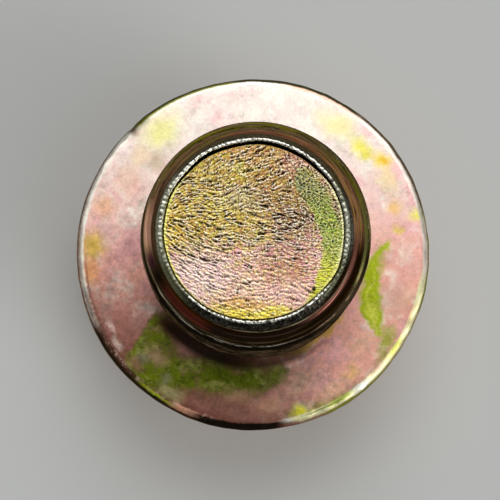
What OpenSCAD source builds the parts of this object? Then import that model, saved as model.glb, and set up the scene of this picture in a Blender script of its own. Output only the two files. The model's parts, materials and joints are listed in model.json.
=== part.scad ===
// Flanged oil drain plug, cold forged from steel in one piece.
// It stands on its hexagon head with the threaded shank up.
// The origin is on the ground, under the middle of the head.

/* [Thread] */
// Major diameter of the thread
thread_d = 14; // [12:0.5:18]
// Pitch of the thread
pitch = 1.5; // [1:0.25:1.75]
// Direction, in degrees round the shank, in which the groove leaves the relief neck
thread_turn = 175; // [0:5:355]

/* [Shank] */
// Length of the shank, from the seat of the flange to the tip
shank_len = 12; // [9:0.5:30]
// Length of the relief between the seat and the full thread, with its chamfer
relief_len = 2.8; // [2.2:0.1:4]
// How far the relief neck lies below the root of the thread
relief_drop = 0.2; // [0.1:0.05:0.5]
// Radius of the fillet between the neck and the seat
neck_fillet = 0.5; // [0.2:0.1:0.8]
// Length of the lead chamfer at the tip
lead_len = 2.5; // [1.5:0.1:4]
// How much the lead chamfer takes off the radius
lead_drop = 1.2; // [0.8:0.1:2]

/* [Tip] */
// Width of the lip that is rolled up round the face of the tip
lip_w = 0.4; // [0.3:0.05:0.8]
// Height of the wall from the face of the tip up to the rounding of its lip
lip_wall = 0.15; // [0.05:0.05:0.5]

/* [Flange] */
// Diameter of the flange
flange_d = 23; // [21.5:0.5:32]
// Height of the rim of the flange
rim_h = 1.6; // [1.4:0.1:3]
// Radius of the rim's edge at the seat
seat_round = 0.6; // [0.3:0.05:0.8]
// Radius of the rim's edge at the underside
under_round = 0.4; // [0.2:0.05:0.5]
// Slope of the flange's underside in degrees
under_slope = 18; // [5:1:30]

/* [Head] */
// Height from the ground to the seat of the flange
head_h = 11; // [8:0.5:16]
// Width of the hexagon across its flats
across_flats = 17; // [14:1:18]
// How far the forged corners of the hexagon stay short of sharp
corner_short = 0.25; // [0.1:0.05:0.6]
// Width of the bevel on the corners of the hexagon at the ground
corner_bevel = 1.6; // [0.8:0.1:2.4]
// Slope of that bevel in degrees
bevel_slope = 30; // [15:1:45]
// Diameter of the shallow dish that the forging punch leaves in the head
dish_d = 10; // [6:0.5:11]
// Depth of the dish
dish_depth = 0.6; // [0.3:0.1:1.2]
// Slope of the dish's wall in degrees
dish_slope = 40; // [30:5:60]

/* [Hidden] */
$fn = 96;
// Shapes that are joined or cut reach this far past each other
reach = 0.5;

// Metric thread: flanks at 60 degrees, an eighth of the pitch left flat at the crest,
// and the root cut at 17/24 of the height of the sharp triangle
thread_depth = pitch * sqrt(3) / 2 * 17 / 24;
flank_slope = tan(30);
root_half = pitch * 7 / 16 - thread_depth * flank_slope;
thread_r = thread_d / 2;
root_r = thread_r - thread_depth;

seat_z = head_h;
tip_z = head_h + shank_len;
neck_r = root_r - relief_drop;
thread_low_z = seat_z + relief_len;
neck_top_z = thread_low_z - (thread_r - neck_r);
neck_round = min(neck_fillet, neck_top_z - seat_z);
tip_r = thread_r - lead_drop;
lip_r = lip_w / 2;
face_r = tip_r - lip_w;
face_z = tip_z - lip_r - lip_wall;

// The underside is a cone that meets the rounding of the rim without a corner
flange_r = flange_d / 2;
rim_low_z = seat_z - rim_h;
under_x = flange_r - under_round;
under_inner_r = across_flats / 2 - reach;
under_inner_z = rim_low_z + under_round * (1 - 1 / cos(under_slope))
    - (under_x - under_inner_r) * tan(under_slope);

hex_corner_r = across_flats / 2 / cos(30);
corner_r = hex_corner_r - corner_short;
dish_r = dish_d / 2;

// The groove's cutter passes the crest by a little, and turn_steps of its steps make one turn.
// Both its ends lie in the air: below the chamfer over the neck, and above the tip.
turn_steps = 40;
cutter_proud = 0.1;
cutter_room = 0.06;
cutter_r = thread_r + cutter_proud;
cutter_half = root_half + (cutter_r - root_r) * flank_slope;
groove_low_z = thread_low_z - thread_depth - root_half - cutter_room;
groove_high_z = tip_z + cutter_half + cutter_room;
groove_steps = ceil((groove_high_z - groove_low_z) / pitch * turn_steps);

// Corners of the groove's section, as [radius, height from its middle]
groove_section = [
    [root_r, -root_half],
    [cutter_r, -cutter_half],
    [cutter_r, cutter_half],
    [root_r, root_half],
];

// Points on an arc of radius r round [x, y], from angle a to angle b
function arc(x, y, r, a, b, n = 8) =
    [for (i = [0:n]) let (t = a + (b - a) * i / n) [x + r * cos(t), y + r * sin(t)]];

// Corner k of the groove's section, carried i steps up a right-hand helix
function groove_point(i, k) =
    let (
        turn = i / turn_steps,
        a = thread_turn + 360 * turn,
        r = groove_section[k][0],
        z = groove_low_z + pitch * turn + groove_section[k][1]
    )
    [r * cos(a), r * sin(a), z];

// The helical groove between the turns of the thread, as a solid
module thread_groove() {
    corners = len(groove_section);
    end = groove_steps * corners;
    points = [for (i = [0:groove_steps], k = [0:corners - 1]) groove_point(i, k)];
    walls = [
        for (i = [0:groove_steps - 1], k = [0:corners - 1])
            let (a = i * corners + k, b = i * corners + (k + 1) % corners)
            each [[a, b, a + corners], [b, b + corners, a + corners]]
    ];
    ends = [[0, 2, 1], [0, 3, 2], [end, end + 1, end + 2], [end, end + 2, end + 3]];
    polyhedron(points = points, faces = concat(walls, ends), convexity = 10);
}

// The blank before its thread is rolled: flange, neck and shank, turned round the axis
module flanged_shank() {
    rotate_extrude()
        polygon(concat(
            [[0, under_inner_z], [under_inner_r, under_inner_z]],
            arc(under_x, rim_low_z + under_round, under_round, under_slope - 90, 0),
            arc(flange_r - seat_round, seat_z - seat_round, seat_round, 0, 90),
            arc(neck_r + neck_round, seat_z + neck_round, neck_round, 270, 180),
            [[neck_r, neck_top_z], [thread_r, thread_low_z], [thread_r, tip_z - lead_len]],
            arc(tip_r - lip_r, tip_z - lip_r, lip_r, 0, 180),
            [[face_r, face_z], [0, face_z]]
        ));
}

// The outline of the head turned round the axis, which trims and bevels the hexagon's corners
module head_envelope() {
    rotate_extrude()
        polygon([
            [0, 0],
            [corner_r - corner_bevel, 0],
            [corner_r, corner_bevel * tan(bevel_slope)],
            [corner_r, rim_low_z],
            [0, rim_low_z],
        ]);
}

// The dish in the face of the head, as a solid that starts below the ground
module punch_dish() {
    wall_run = 1 / tan(dish_slope);
    translate([0, 0, -reach])
        cylinder(
            h = reach + dish_depth,
            r1 = dish_r + reach * wall_run,
            r2 = dish_r - dish_depth * wall_run
        );
}

// The hexagon that a spanner turns, up to the flange
module hexagon_head() {
    difference() {
        intersection() {
            cylinder(h = rim_low_z, r = hex_corner_r, $fn = 6);
            head_envelope();
        }
        punch_dish();
    }
}

// The whole plug, which is one forging with a rolled thread
module drain_plug() {
    color("burlywood")
        difference() {
            union() {
                hexagon_head();
                flanged_shank();
            }
            thread_groove();
        }
}

drain_plug();
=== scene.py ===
# %% [markdown]
# # A flanged oil drain plug
# The plug is one steel forging: a hexagon head with a round flange, and a short threaded shank that
# stands on the flange's seat. It was zinc plated and dipped in a yellow chromate, which dries to a
# thin film in pink, gold and green. This lesson rebuilds its skin as one closed mesh and its coating
# as one material, and photographs it from above its tip.
#
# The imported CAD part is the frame. It gives every place and size, and stays underneath for
# the simulation, while the dressed mesh takes its place in the picture.

import json
import math

import bmesh
import bpy
import numpy as np
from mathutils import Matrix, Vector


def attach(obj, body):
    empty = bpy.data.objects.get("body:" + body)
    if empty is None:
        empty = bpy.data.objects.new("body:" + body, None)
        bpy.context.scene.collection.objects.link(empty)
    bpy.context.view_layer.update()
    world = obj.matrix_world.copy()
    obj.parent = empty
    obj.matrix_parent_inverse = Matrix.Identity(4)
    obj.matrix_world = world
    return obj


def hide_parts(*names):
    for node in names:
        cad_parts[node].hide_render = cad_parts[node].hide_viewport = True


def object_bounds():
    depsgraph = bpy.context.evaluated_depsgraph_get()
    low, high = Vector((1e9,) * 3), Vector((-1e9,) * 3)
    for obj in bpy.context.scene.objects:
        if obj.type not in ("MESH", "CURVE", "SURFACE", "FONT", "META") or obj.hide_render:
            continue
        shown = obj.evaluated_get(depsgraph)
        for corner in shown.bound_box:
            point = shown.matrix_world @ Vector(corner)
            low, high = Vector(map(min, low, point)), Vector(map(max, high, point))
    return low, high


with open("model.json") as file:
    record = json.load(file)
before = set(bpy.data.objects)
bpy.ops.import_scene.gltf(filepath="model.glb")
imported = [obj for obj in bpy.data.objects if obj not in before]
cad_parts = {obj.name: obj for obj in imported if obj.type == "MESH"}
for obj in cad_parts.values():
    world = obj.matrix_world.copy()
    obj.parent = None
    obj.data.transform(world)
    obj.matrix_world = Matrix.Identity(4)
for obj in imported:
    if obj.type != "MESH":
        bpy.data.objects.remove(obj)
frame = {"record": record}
cad_low, cad_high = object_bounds()
mounts = {mount["name"]: mount for mount in frame["record"]["mounts"]}
print("CAD box:", tuple(cad_low), tuple(cad_high))

# %% [markdown]
# ## Sizes
# The mesh is worked out in millimetres, in which a thread's sizes are easy to read, and scaled to
# metres once, when it is handed to Blender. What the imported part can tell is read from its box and
# its mounts. The rest are the sizes that a maker would quote.

# %% Sizes in millimetres
MM = 0.001
TURN = 2 * np.pi

TIP_Z = cad_high.z / MM
FLANGE_R = cad_high.x / MM
SEAT_Z = mounts["flange_seat"]["pos_m"][2] / MM
FLAT_R = mounts["wrench_flat_back"]["pos_m"][1] / MM
CREST_R = mounts["thread"]["dims"]["r_mm"]
THREAD_LOW_Z = TIP_Z - mounts["thread"]["dims"]["length_mm"]
print("tip", TIP_Z, "seat", SEAT_Z, "flange", FLANGE_R, "crest", CREST_R, "thread from", THREAD_LOW_Z)

# %% [markdown]
# ## Tools for surfaces
# Every surface is a grid. Its columns go round the axis, and its rows go along the profile, from the
# middle of the head to the tip. A row is a radius and a height for every column. Either may change
# from column to column, which is how a round flange can turn into a hexagon.

# %% Columns round the axis
COLUMNS = 396  # a multiple of 12, so that a column meets each corner and each flat of the hexagon
angle = np.linspace(0, TURN, COLUMNS + 1)  # the last column closes the first
fine_angle = np.linspace(0, TURN, 2 * COLUMNS + 1)
print("columns:", COLUMNS, "and on the lip:", 2 * COLUMNS)


# %% Rounded profiles
def rounded_profile(corners, around):
    """Rows of (radius, height) along a profile with rounded corners.

    A corner is (radius, height, reach, bends, spans). Its rounding starts reach before the corner
    and ends reach after it, on the parabola that touches both sides: the weights of its three
    points are (1 - t)^2, 2t(1 - t) and t^2. It has that many bends. After it come that many spans,
    each longer than the one before: they end 1/n, 1/(n - 1) ... 1/2 and all of what was left.
    """
    sides = [[np.broadcast_to(size, around.shape) for size in corner[:2]] for corner in corners]
    points = np.array(sides, float).transpose(0, 2, 1)
    rows, last = [points[0]], len(corners) - 1
    for k in range(1, last + 1):
        corner, before = points[k], points[k - 1]
        reach = np.broadcast_to(corners[k][2], around.shape)[:, None]
        to_before = (before - corner) / np.linalg.norm(before - corner, axis=1, keepdims=True)
        start = corner + to_before * reach
        row = rows[-1]
        rows += [row + (start - row) / spans for spans in range(corners[k - 1][4], 0, -1)]
        if k == last:
            break
        after = points[k + 1] - corner
        end = corner + after / np.linalg.norm(after, axis=1, keepdims=True) * reach
        bends = corners[k][3]
        for t in np.arange(1, bends + 1) / bends:
            rows.append((1 - t) ** 2 * start + 2 * t * (1 - t) * corner + t**2 * end)
    return np.array(rows)


# %% Waves round the axis
def ripple(around, size, fewest, most, seed):
    """Unevenness round the axis: waves of fewest to most cycles a turn, each with a random phase
    and strength, added up and scaled so that their root mean square is size."""
    random = np.random.default_rng(seed)
    cycles = np.arange(fewest, most + 1)
    strength = random.normal(size=len(cycles))
    phase = random.uniform(0, TURN, len(cycles))
    waves = np.cos(np.multiply.outer(around, cycles) + phase) @ strength
    return size * waves / np.sqrt((strength**2).sum() / 2)


def bump_at(around, bearing, width):
    """1 at a bearing in degrees, falling off on both sides as a bell curve of that width."""
    off = (around - math.radians(bearing) + np.pi) % TURN - np.pi
    return np.exp(-((off / math.radians(width)) ** 2))


def eased(value, start, end):
    """0 at start and 1 at end, and a smooth s-curve 3t^2 - 2t^3 between them."""
    t = np.clip((value - start) / (end - start), 0, 1)
    return t * t * (3 - 2 * t)


# %% [markdown]
# ## The head and the flange
# The head is a forged hexagon for a wrench of 17 mm, with bevelled corners and a shallow dish that
# saves steel. The flange spreads the load on the seal. A hexagon could be extruded and joined to a
# turned flange, and then the seam would have to be mended. Here one profile makes both: in some of its
# rows the radius is the hexagon's, which changes with the angle, and in the others it is a circle's.
#
# No forged flange is quite round. Slow and quick waves are added to its radius, the edge of the seat
# is rounder at the right in front, where it catches the light, and there is one nick in the rim.

# %% Sizes of the head and the flange
DISH_R, DISH_DEPTH, DISH_FLOOR_R = 5.0, 0.6, 4.285
CORNER_R, BEVEL_R, BEVEL_SLOPE = 9.565, 7.965, math.tan(math.radians(30))
UNDER_SLOPE = math.tan(math.radians(18))
RIM_H, UNDER_ROUND = 1.6, 0.4
NECK_R, NECK_ROUND, NECK_TOP_Z = 5.88, 0.5, THREAD_LOW_Z - 1.12
print("the hexagon's corners at", CORNER_R, "the rim's height", RIM_H, "the neck", NECK_R)

# %% The hexagon's outline
off_flat = (angle - TURN / 4 + TURN / 12) % (TURN / 6) - TURN / 12
hexagon_r = FLAT_R / np.cos(off_flat)
CORNER_SOFT = 0.12  # the lesser of the two radii, rounded over this much where they are equal
near_corner = np.maximum(CORNER_SOFT - np.abs(hexagon_r - CORNER_R), 0) / CORNER_SOFT
hexagon_r = np.minimum(hexagon_r, CORNER_R) - near_corner**2 * CORNER_SOFT / 4
print("hexagon radius", hexagon_r.min(), "to", hexagon_r.max())

# %% The flange's outline
nick = bump_at(angle, 134.3, 1.3)
rim_r = FLANGE_R + ripple(angle, 0.028, 2, 9, 3) + ripple(angle, 0.007, 12, 60, 4) - 0.06 * nick
under_z = SEAT_Z - RIM_H - (FLANGE_R - hexagon_r) * UNDER_SLOPE
seat_round = 0.3 + 0.3 * bump_at(angle, -45, 55) + ripple(angle, 0.03, 5, 60, 5) + 0.05 * nick
print("flange radius", rim_r.min(), "to", rim_r.max())
print("rounding of the seat's edge", seat_round.min(), "to", seat_round.max())

# %% From the middle of the head to the neck
lower = rounded_profile(
    [
        (0, DISH_DEPTH, 0, 0, 4),
        (DISH_FLOOR_R, DISH_DEPTH, 0.3, 3, 2),
        (DISH_R, 0, 0.25, 3, 3),
        (BEVEL_R, 0, 0.12, 2, 1),
        (hexagon_r, (hexagon_r - BEVEL_R) * BEVEL_SLOPE, 0.1, 2, 5),
        (hexagon_r, under_z, 0.35, 4, 3),
        (rim_r, SEAT_Z - RIM_H, UNDER_ROUND * 1.1, 5, 2),
        (rim_r, SEAT_Z, 1.3 * seat_round, 7, 10),
        (NECK_R, SEAT_Z, NECK_ROUND, 4, 2),
        (NECK_R, NECK_TOP_Z, 0, 0, 0),
    ],
    angle,
)
print("rows of the head and the flange:", len(lower))

# %% [markdown]
# ## The thread
# The thread is M14 x 1.5 and was rolled into the shank, which leaves smooth flanks and a faint seam
# along each crest. Blender's Screw modifier makes a helix from a section, but its ends would have to
# be cut and closed by hand. Here the radius is a function of the angle and the height: the lesser of
# the blank's and the groove's. The groove climbs one pitch in a turn, and it runs out by itself
# wherever the blank gets thinner.
#
# Level rows would cut the helix into steps. So the rows climb with it: nine of them go with each turn
# of the groove and follow its edges, its flanks, its root and the middle of the crest.

# %% Sizes of the thread
PITCH = 1.5
FLANK = math.tan(math.radians(30))
THREAD_DEPTH = PITCH * math.sqrt(3) / 2 * 17 / 24  # 17/24 of a sharp thread's height
ROOT_R = CREST_R - THREAD_DEPTH
GROOVE_HALF = PITCH * 7 / 16  # a crest is an eighth of the pitch wide
ROOT_HALF = GROOVE_HALF - THREAD_DEPTH * FLANK
GROOVE_START = 175  # the bearing where the groove's middle is at GROOVE_LOW_Z
GROOVE_LOW_Z = THREAD_LOW_Z - THREAD_DEPTH - ROOT_HALF - 0.06
LEAD_LOW_Z, LEAD_TOP_Z, LEAD_TOP_R = TIP_Z - 2.5, TIP_Z - 0.45, 5.93
EDGE = 0.03  # a row lies this far outside each edge of the groove
CREST_SOFT = 0.05  # the rounding of a crest's edge
SEAM, SEAM_WIDTH = 0.015, 0.03
print("depth of the thread", THREAD_DEPTH, "its root's radius", ROOT_R)


# %% Radius of the thread
def blank_radius(z):
    """The shank before its thread is rolled: neck, chamfer, cylinder and lead cone, joined by
    straight lines."""
    heights = [NECK_TOP_Z, THREAD_LOW_Z, LEAD_LOW_Z, LEAD_TOP_Z]
    return np.interp(z, heights, [NECK_R, CREST_R, CREST_R, LEAD_TOP_R])


def groove_middle(around, turns):
    """Height of the middle of the groove: it climbs one pitch in a turn."""
    return GROOVE_LOW_Z + PITCH * (around / TURN - GROOVE_START / 360 + turns)


def half_width(middle, side):
    """Half the width of the groove where it meets the blank, above (1) or below (-1) its middle. The
    width depends on the blank's radius there, so it is found by trying and correcting."""
    half = np.full_like(middle, ROOT_HALF + THREAD_DEPTH * FLANK)  # right where the blank is a cylinder
    for _ in range(5):
        depth = np.maximum(blank_radius(middle + side * half) - ROOT_R, 0)
        half = ROOT_HALF + depth * FLANK
    return half


def thread_radius(around, z):
    """The lesser of the blank's radius and the groove's, blended over CREST_SOFT so that the crest's
    edge is round, less the shallow seam that rolling leaves in the middle of a crest."""
    rise = (z - groove_middle(around, 0) + PITCH / 2) % PITCH - PITCH / 2
    blank = blank_radius(z)
    groove = ROOT_R + (np.abs(rise) - ROOT_HALF).clip(0) / FLANK
    near = np.maximum(CREST_SOFT - np.abs(blank - groove), 0) / CREST_SOFT
    seam = SEAM * np.exp(-(((PITCH / 2 - np.abs(rise)) / SEAM_WIDTH) ** 2)) * (blank > ROOT_R + 0.3)
    return np.minimum(blank, groove) - near**2 * CREST_SOFT / 4 - seam


# %% Rows that climb with the helix
first_turn = math.floor((NECK_TOP_Z - GROOVE_LOW_Z) / PITCH) - 2
last_turn = math.ceil((LEAD_TOP_Z - GROOVE_LOW_Z) / PITCH) + 1
climbing = []
for turns in range(first_turn, last_turn + 1):
    middle = groove_middle(angle, turns)
    below, above = half_width(middle, -1), half_width(middle, 1)
    climbing += [middle - below - EDGE]
    climbing += [middle - ROOT_HALF - (below - ROOT_HALF) * share for share in (0.9, 0.45, 0)]
    climbing += [middle + ROOT_HALF + (above - ROOT_HALF) * share for share in (0, 0.45, 0.9)]
    climbing += [middle + above + EDGE, middle + PITCH / 2]
climbing = np.array(climbing)
print("smallest step between rows:", np.diff(climbing, axis=0).min())
climbing = climbing.clip(NECK_TOP_Z, LEAD_TOP_Z)
between = (climbing.min(1) > NECK_TOP_Z) & (climbing.max(1) < LEAD_TOP_Z)
kept = between | (np.ptp(climbing, axis=1) > 0)  # a row that lies on an end all round goes
climbing = np.vstack([climbing[kept], np.full_like(angle, LEAD_TOP_Z)])
thread = np.stack([thread_radius(angle, climbing), climbing], -1)
print("rows of the thread:", len(thread), "radius", thread[..., 0].min(), "to", thread[..., 0].max())

# %% [markdown]
# ## The lip and the face of the tip
# Rolling pushed a thin lip of steel up round the tip. At the back it stands free, with a dark gap
# between it and the face, and in front it lies against the face. It is one more profile round the
# axis, with twice as many columns, so that quick waves can make it ragged.
#
# The face is covered with short strokes. They could be a bump in the material, but a bump has no depth
# in an exported mesh. So the face is a dense grid whose height is the relief. A square grid is bent
# into a disc, ring by ring, so that its edge meets the columns of the lip.

# %% The rolled lip
LIP_OUT_R, LIP_FOOT_Z, FACE_Z = 5.83, TIP_Z - 0.62, TIP_Z - 0.36
ragged = ripple(fine_angle, 0.02, 20, 150, 11)
inner_ragged = ripple(fine_angle, 0.014, 20, 150, 13)
bead = ripple(fine_angle, 0.018, 70, 150, 14).clip(-1, 0.012)
beads = (0.4 + 0.3 * bump_at(fine_angle, 118, 40)) * bead  # strongest at the back, towards the left
uneven = ripple(fine_angle, 0.025, 3, 14, 12)
opened = eased(np.cos(fine_angle - math.radians(88)), 0.35, 0.85)  # 1 where the gap is widest
front = bump_at(fine_angle, -90, 45)
left = bump_at(fine_angle, 178, 40)
land_out_r = 5.7 - 0.13 * opened - 0.22 * front + 0.06 * left + uneven
land_in_r = land_out_r - 0.26 + 0.1 * opened + 0.1 * front - 0.06 * left
edge_r = land_in_r - 0.05 - 0.11 * opened - 0.03 * front - 0.3 * uneven
lip = rounded_profile(
    [
        (LEAD_TOP_R + 0 * fine_angle, LEAD_TOP_Z, 0, 0, 1),
        (LIP_OUT_R + 0.3 * uneven, TIP_Z - 0.24, 0.05, 2, 1),
        (land_out_r + ragged, TIP_Z - 0.03 + beads, 0.05, 2, 1),
        (land_in_r + inner_ragged, TIP_Z - 0.03 + 0.6 * beads, 0.05, 2, 1),
        (land_in_r - 0.04, FACE_Z + (LIP_FOOT_Z - FACE_Z) * opened, 0.03, 1, 1),
        (edge_r + 0.015, FACE_Z - 0.03 + (LIP_FOOT_Z - FACE_Z) * opened, 0.01, 1, 1),
        (edge_r, FACE_Z, 0, 0, 0),
    ],
    fine_angle,
)
print("rows of the lip:", len(lip), "gap", (land_in_r - edge_r).min(), "to", (land_in_r - edge_r).max())

# %% [markdown]
# ## Strokes from noise
# Hundreds of strokes are too many to draw one by one. Random numbers can be taken apart into waves,
# and where only the waves of one direction and about one spacing are put together again, they make
# strokes. Five such fields, for five directions, are blended over the face, so that the strokes turn
# as the photograph shows. The scratches that stand out are placed singly.

# %% Strokes pressed into the face
CELLS, PATCH = 512, 12.0  # the relief is worked out on a square this wide, in millimetres
STROKE_SIZES = [(0.5, 0.19, 0.9), (0.3, 0.13, 0.9), (1.0, 0.32, 0.3)]  # length, spacing, weight
TURNS = (-36, -18, 0, 18, 36)  # directions in which strokes run, in degrees
print("cells to a millimetre:", round(CELLS / PATCH, 1), "directions:", len(TURNS))


def noise_waves(seed):
    """White noise taken apart into waves, with each wave's cycles a millimetre along x and y."""
    noise = np.random.default_rng(seed).normal(size=(CELLS, CELLS))
    cycles = np.fft.fftfreq(CELLS, PATCH / CELLS)
    return np.fft.fft2(noise), cycles[:, None], cycles[None, :]


def strokes(turn, length, spacing, seed):
    """Relief of strokes at an angle in degrees. Of white noise, only the waves are kept that are about
    spacing apart across the strokes and change slowly along them, over at least length."""
    waves, fx, fy = noise_waves(seed)
    along = fx * math.cos(math.radians(turn)) + fy * math.sin(math.radians(turn))
    keep = np.exp(-((along * length) ** 2) - ((np.hypot(fx, fy) * spacing - 1) / 0.55) ** 2)
    field = np.fft.ifft2(waves * keep).real
    return field / field.std()


def looked_up(field, x, y):
    """The field's value at each place, weighted between the four cells round it."""
    u, v = [(w / PATCH + 0.5) * CELLS for w in (x, y)]
    i, j = np.floor(u).astype(int), np.floor(v).astype(int)
    near, far = [field[k, j] * (1 - v + j) + field[k, j + 1] * (v - j) for k in (i, i + 1)]
    return near * (1 - u + i) + far * (u - i)


# %% The face, from a square to a disc
SIDE = COLUMNS // 2  # four sides of the square make the 2 * COLUMNS columns of the lip
a, b = np.meshgrid(*[np.linspace(-1, 1, SIDE + 1)] * 2, indexing="ij")
wide = np.abs(a) >= np.abs(b)
rho = np.maximum(np.abs(a), np.abs(b))
safe = np.where(rho == 0, 1, rho)
sector = np.where(wide, b / safe * np.sign(a), 2 - a / safe * np.sign(b)) * TURN / 8
bearing = (sector + np.where(np.where(wide, a, b) < 0, TURN / 2, 0)) % TURN
reach = rho * np.interp(bearing, fine_angle, lip[-1, :, 0])
face_x, face_y = reach * np.cos(bearing), reach * np.sin(bearing)
print("points of the face:", face_x.shape, "radius", reach[0].min(), "to", reach[0].max())

# %% Which way the strokes run, and how deep they are
swirl = strokes(0, 0.0, 3.0, 30)  # a length of 0 gives blotches
direction = -6 + 24 * eased(face_y, 0.3, 3.6) + 9 * looked_up(swirl, face_x, face_y)
direction = direction - 26 * eased(face_x, -0.8, -3.6) * eased(face_y, 1.2, -1.2)
share = np.array([np.exp(-(((direction - turn) / 17) ** 2)) for turn in TURNS])
layers, seed = [], 40
for turn in TURNS:
    layer = 0
    for length, spacing, weight in STROKE_SIZES:
        field = strokes(turn, length, spacing, seed)
        layer = layer + weight * field
        seed += 1
    layers.append(layer + 1.8 * np.minimum(field + 1.1, 0))  # a few of the longest are deep
relief = sum(part * looked_up(layer, face_x, face_y) for part, layer in zip(share, layers))
relief = relief / np.sqrt((share**2).sum(0)) / 1.2
pits = 0.8 * strokes(0, 0.0, 0.135, 60) + 0.5 * strokes(0, 0.0, 0.22, 61)
pitted = 0.48 + 0.52 * eased(face_x + 0.25 * face_y, 2.4, 3.8)  # all pits at the right edge
relief = (1 - pitted) * relief + pitted * 0.8 * looked_up(pits, face_x, face_y)
patchy = 1 + 0.35 * looked_up(strokes(0, 0.0, 0.9, 63), face_x, face_y).clip(-2, 2)
deepest = np.exp(-(((face_x - 2.2) / 1.3) ** 2) - ((face_y - 0.3) / 0.9) ** 2)
relief = patchy * (1 + 0.45 * deepest) * (relief - 0.16 * (relief**2 - 1)).clip(-2.2, 2.2)
relief = relief * (1 - 0.35 * eased(face_y, -0.6, -2.8))  # shallower in front
print("relief of the face, from", relief.min(), "to", relief.max(), "spread", relief.std())

# %% Where the single scratches lie
SCRATCHES = [
    # from x, y to x, y, depth
    (-4.58, 0.47, -4.19, 0.24, 3.0),
    (-4.17, 0.23, -3.74, -0.04, 3.4),
    (-4.91, -0.94, -4.06, -1.23, 2.2),
    (-4.06, -1.23, -3.38, -1.62, 2.4),
    (-3.38, -1.62, -2.28, -1.85, 2.8),
    (-1.56, -0.42, -0.42, -0.45, 2.0),
    (-0.42, -0.45, 0.70, -0.51, 2.4),
    (0.26, 1.59, 0.96, 1.48, 3.0),
    (-1.18, 4.15, 0.09, 4.40, 1.8),
    (-0.76, 3.51, -0.06, 3.70, 3.0),
    (0.78, 5.03, 1.07, 4.86, 2.0),
    (1.20, 4.60, 1.75, 3.78, 0.8),
    (-4.65, -1.75, -3.38, -2.85, 1.2),
    (-3.63, -2.68, -2.11, -3.32, 1.3),
    (-2.62, -3.10, -1.35, -3.70, 1.2),
    (-1.95, 2.19, -1.18, 2.45, 2.0),
    (-3.40, 3.13, -2.55, 3.65, 1.8),
    (2.30, 1.08, 3.75, 0.87, 2.0),
    (1.37, 1.08, 1.96, 0.91, 3.2),
    (2.13, 0.40, 2.81, 0.31, 3.2),
    (-1.43, -1.32, -0.76, -1.23, 2.2),
    (-4.91, -0.30, -4.57, -0.42, 2.0),
    (-0.92, -3.10, 0.26, -3.02, 1.4),
]
print("scratches:", len(SCRATCHES))

# %% Cut the single scratches
RELIEF_DEPTH = 0.029  # millimetres to one unit of relief
SCRATCH_HALF = 0.04
bent = 0.05 * looked_up(strokes(0, 0.0, 0.8, 62), face_x, face_y)
for from_x, from_y, to_x, to_y, depth in SCRATCHES:
    run_x, run_y = to_x - from_x, to_y - from_y
    part = ((face_x - from_x) * run_x + (face_y - from_y) * run_y) / (run_x**2 + run_y**2)
    part = part.clip(0, 1)
    apart = np.hypot(face_x - from_x - part * run_x, face_y + bent - from_y - part * run_y)
    tapered = np.sqrt(1.05 - (2 * part - 1) ** 2)
    relief = relief - 0.8 * depth * np.exp(-((apart / SCRATCH_HALF) ** 2)) * tapered
    relief = relief + 0.5 * np.exp(-(((apart - 0.09) / SCRATCH_HALF) ** 2))  # metal pushed up beside it
relief = relief.clip(-4, 3) * eased(rho, 1, 0.97)  # none where the face meets the lip
face_z = FACE_Z + RELIEF_DEPTH * relief
print("height of the face, from", face_z.min(), "to", face_z.max())


# %% [markdown]
# ## One closed skin
# A forging has one skin, and so does its mesh. The three grids are laid end to end, a hem of faces
# with five corners joins the thread's columns to the lip's, and places that two grids share are
# welded. In a closed skin every edge has two faces, and the cell counts those that haven't. The
# relief is also kept as an attribute, so that the film can darken in the strokes.

# %% Turn the rows round the axis
LIP_SHIFT = -0.12  # the lip was rolled this far to one side


def shifted(x, z):
    """x moved by LIP_SHIFT at the tip, and by less and less further down."""
    return x + LIP_SHIFT * eased(z, TIP_Z - 1.6, TIP_Z - 0.1)


def turned(profile, around):
    """Places (x, y, z) of rows of (radius, height) turned round the axis."""
    radius, z = profile[..., 0], profile[..., 1]
    return np.stack([shifted(radius * np.cos(around), z), radius * np.sin(around), z], -1)


def quads(index):
    """Four corners for each cell of a grid of indices, in the order that faces outwards."""
    return np.stack([index[:-1, :-1], index[:-1, 1:], index[1:, 1:], index[1:, :-1]], -1).reshape(-1, 4)


# %% Join the grids
grids = [
    turned(np.vstack([lower, thread]), angle),
    turned(lip, fine_angle),
    np.stack([shifted(face_x, FACE_Z), face_y, face_z], -1),
]
first = 0
index = []
for grid in grids:
    index.append(first + np.arange(grid[..., 0].size).reshape(grid.shape[:2]))
    first += grid[..., 0].size
under, above = index[0][-1], index[1][0]  # the lip has two edges for each edge of the thread
hem = np.stack([under[:-1], under[1:], above[2::2], above[1::2], above[:-1:2]], -1)
places = np.vstack([grid.reshape(-1, 3) for grid in grids]) * MM
faces = quads(index[0]).tolist() + hem.tolist() + quads(index[1]).tolist() + quads(index[2].T).tolist()
print("points:", len(places), "faces:", len(faces))

# %% Weld and check the skin
mesh = bpy.data.meshes.new("plug_skin")
mesh.from_pydata(places, [], faces)
for name, on_grid in (("stroke", relief), ("on_face", np.ones_like(relief))):
    at_points = np.zeros(len(places))  # 0 everywhere but on the face
    at_points[index[2].ravel()] = on_grid.ravel()
    mesh.attributes.new(name, "FLOAT", "POINT").data.foreach_set("value", at_points)
skin = bmesh.new()
skin.from_mesh(mesh)
bmesh.ops.remove_doubles(skin, verts=skin.verts, dist=1e-7)
loose = [edge for edge in skin.edges if len(edge.link_faces) != 2]
volume = skin.calc_volume(signed=True) / MM**3
for facet in skin.faces:
    facet.smooth = True
skin.to_mesh(mesh)
skin.free()
triangles = sum(len(p.vertices) - 2 for p in mesh.polygons)
print("triangles", triangles, "open edges", len(loose), "volume", round(volume, 1), "mm3")
plug = bpy.data.objects.new("plug", mesh)
bpy.context.scene.collection.objects.link(plug)

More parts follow.
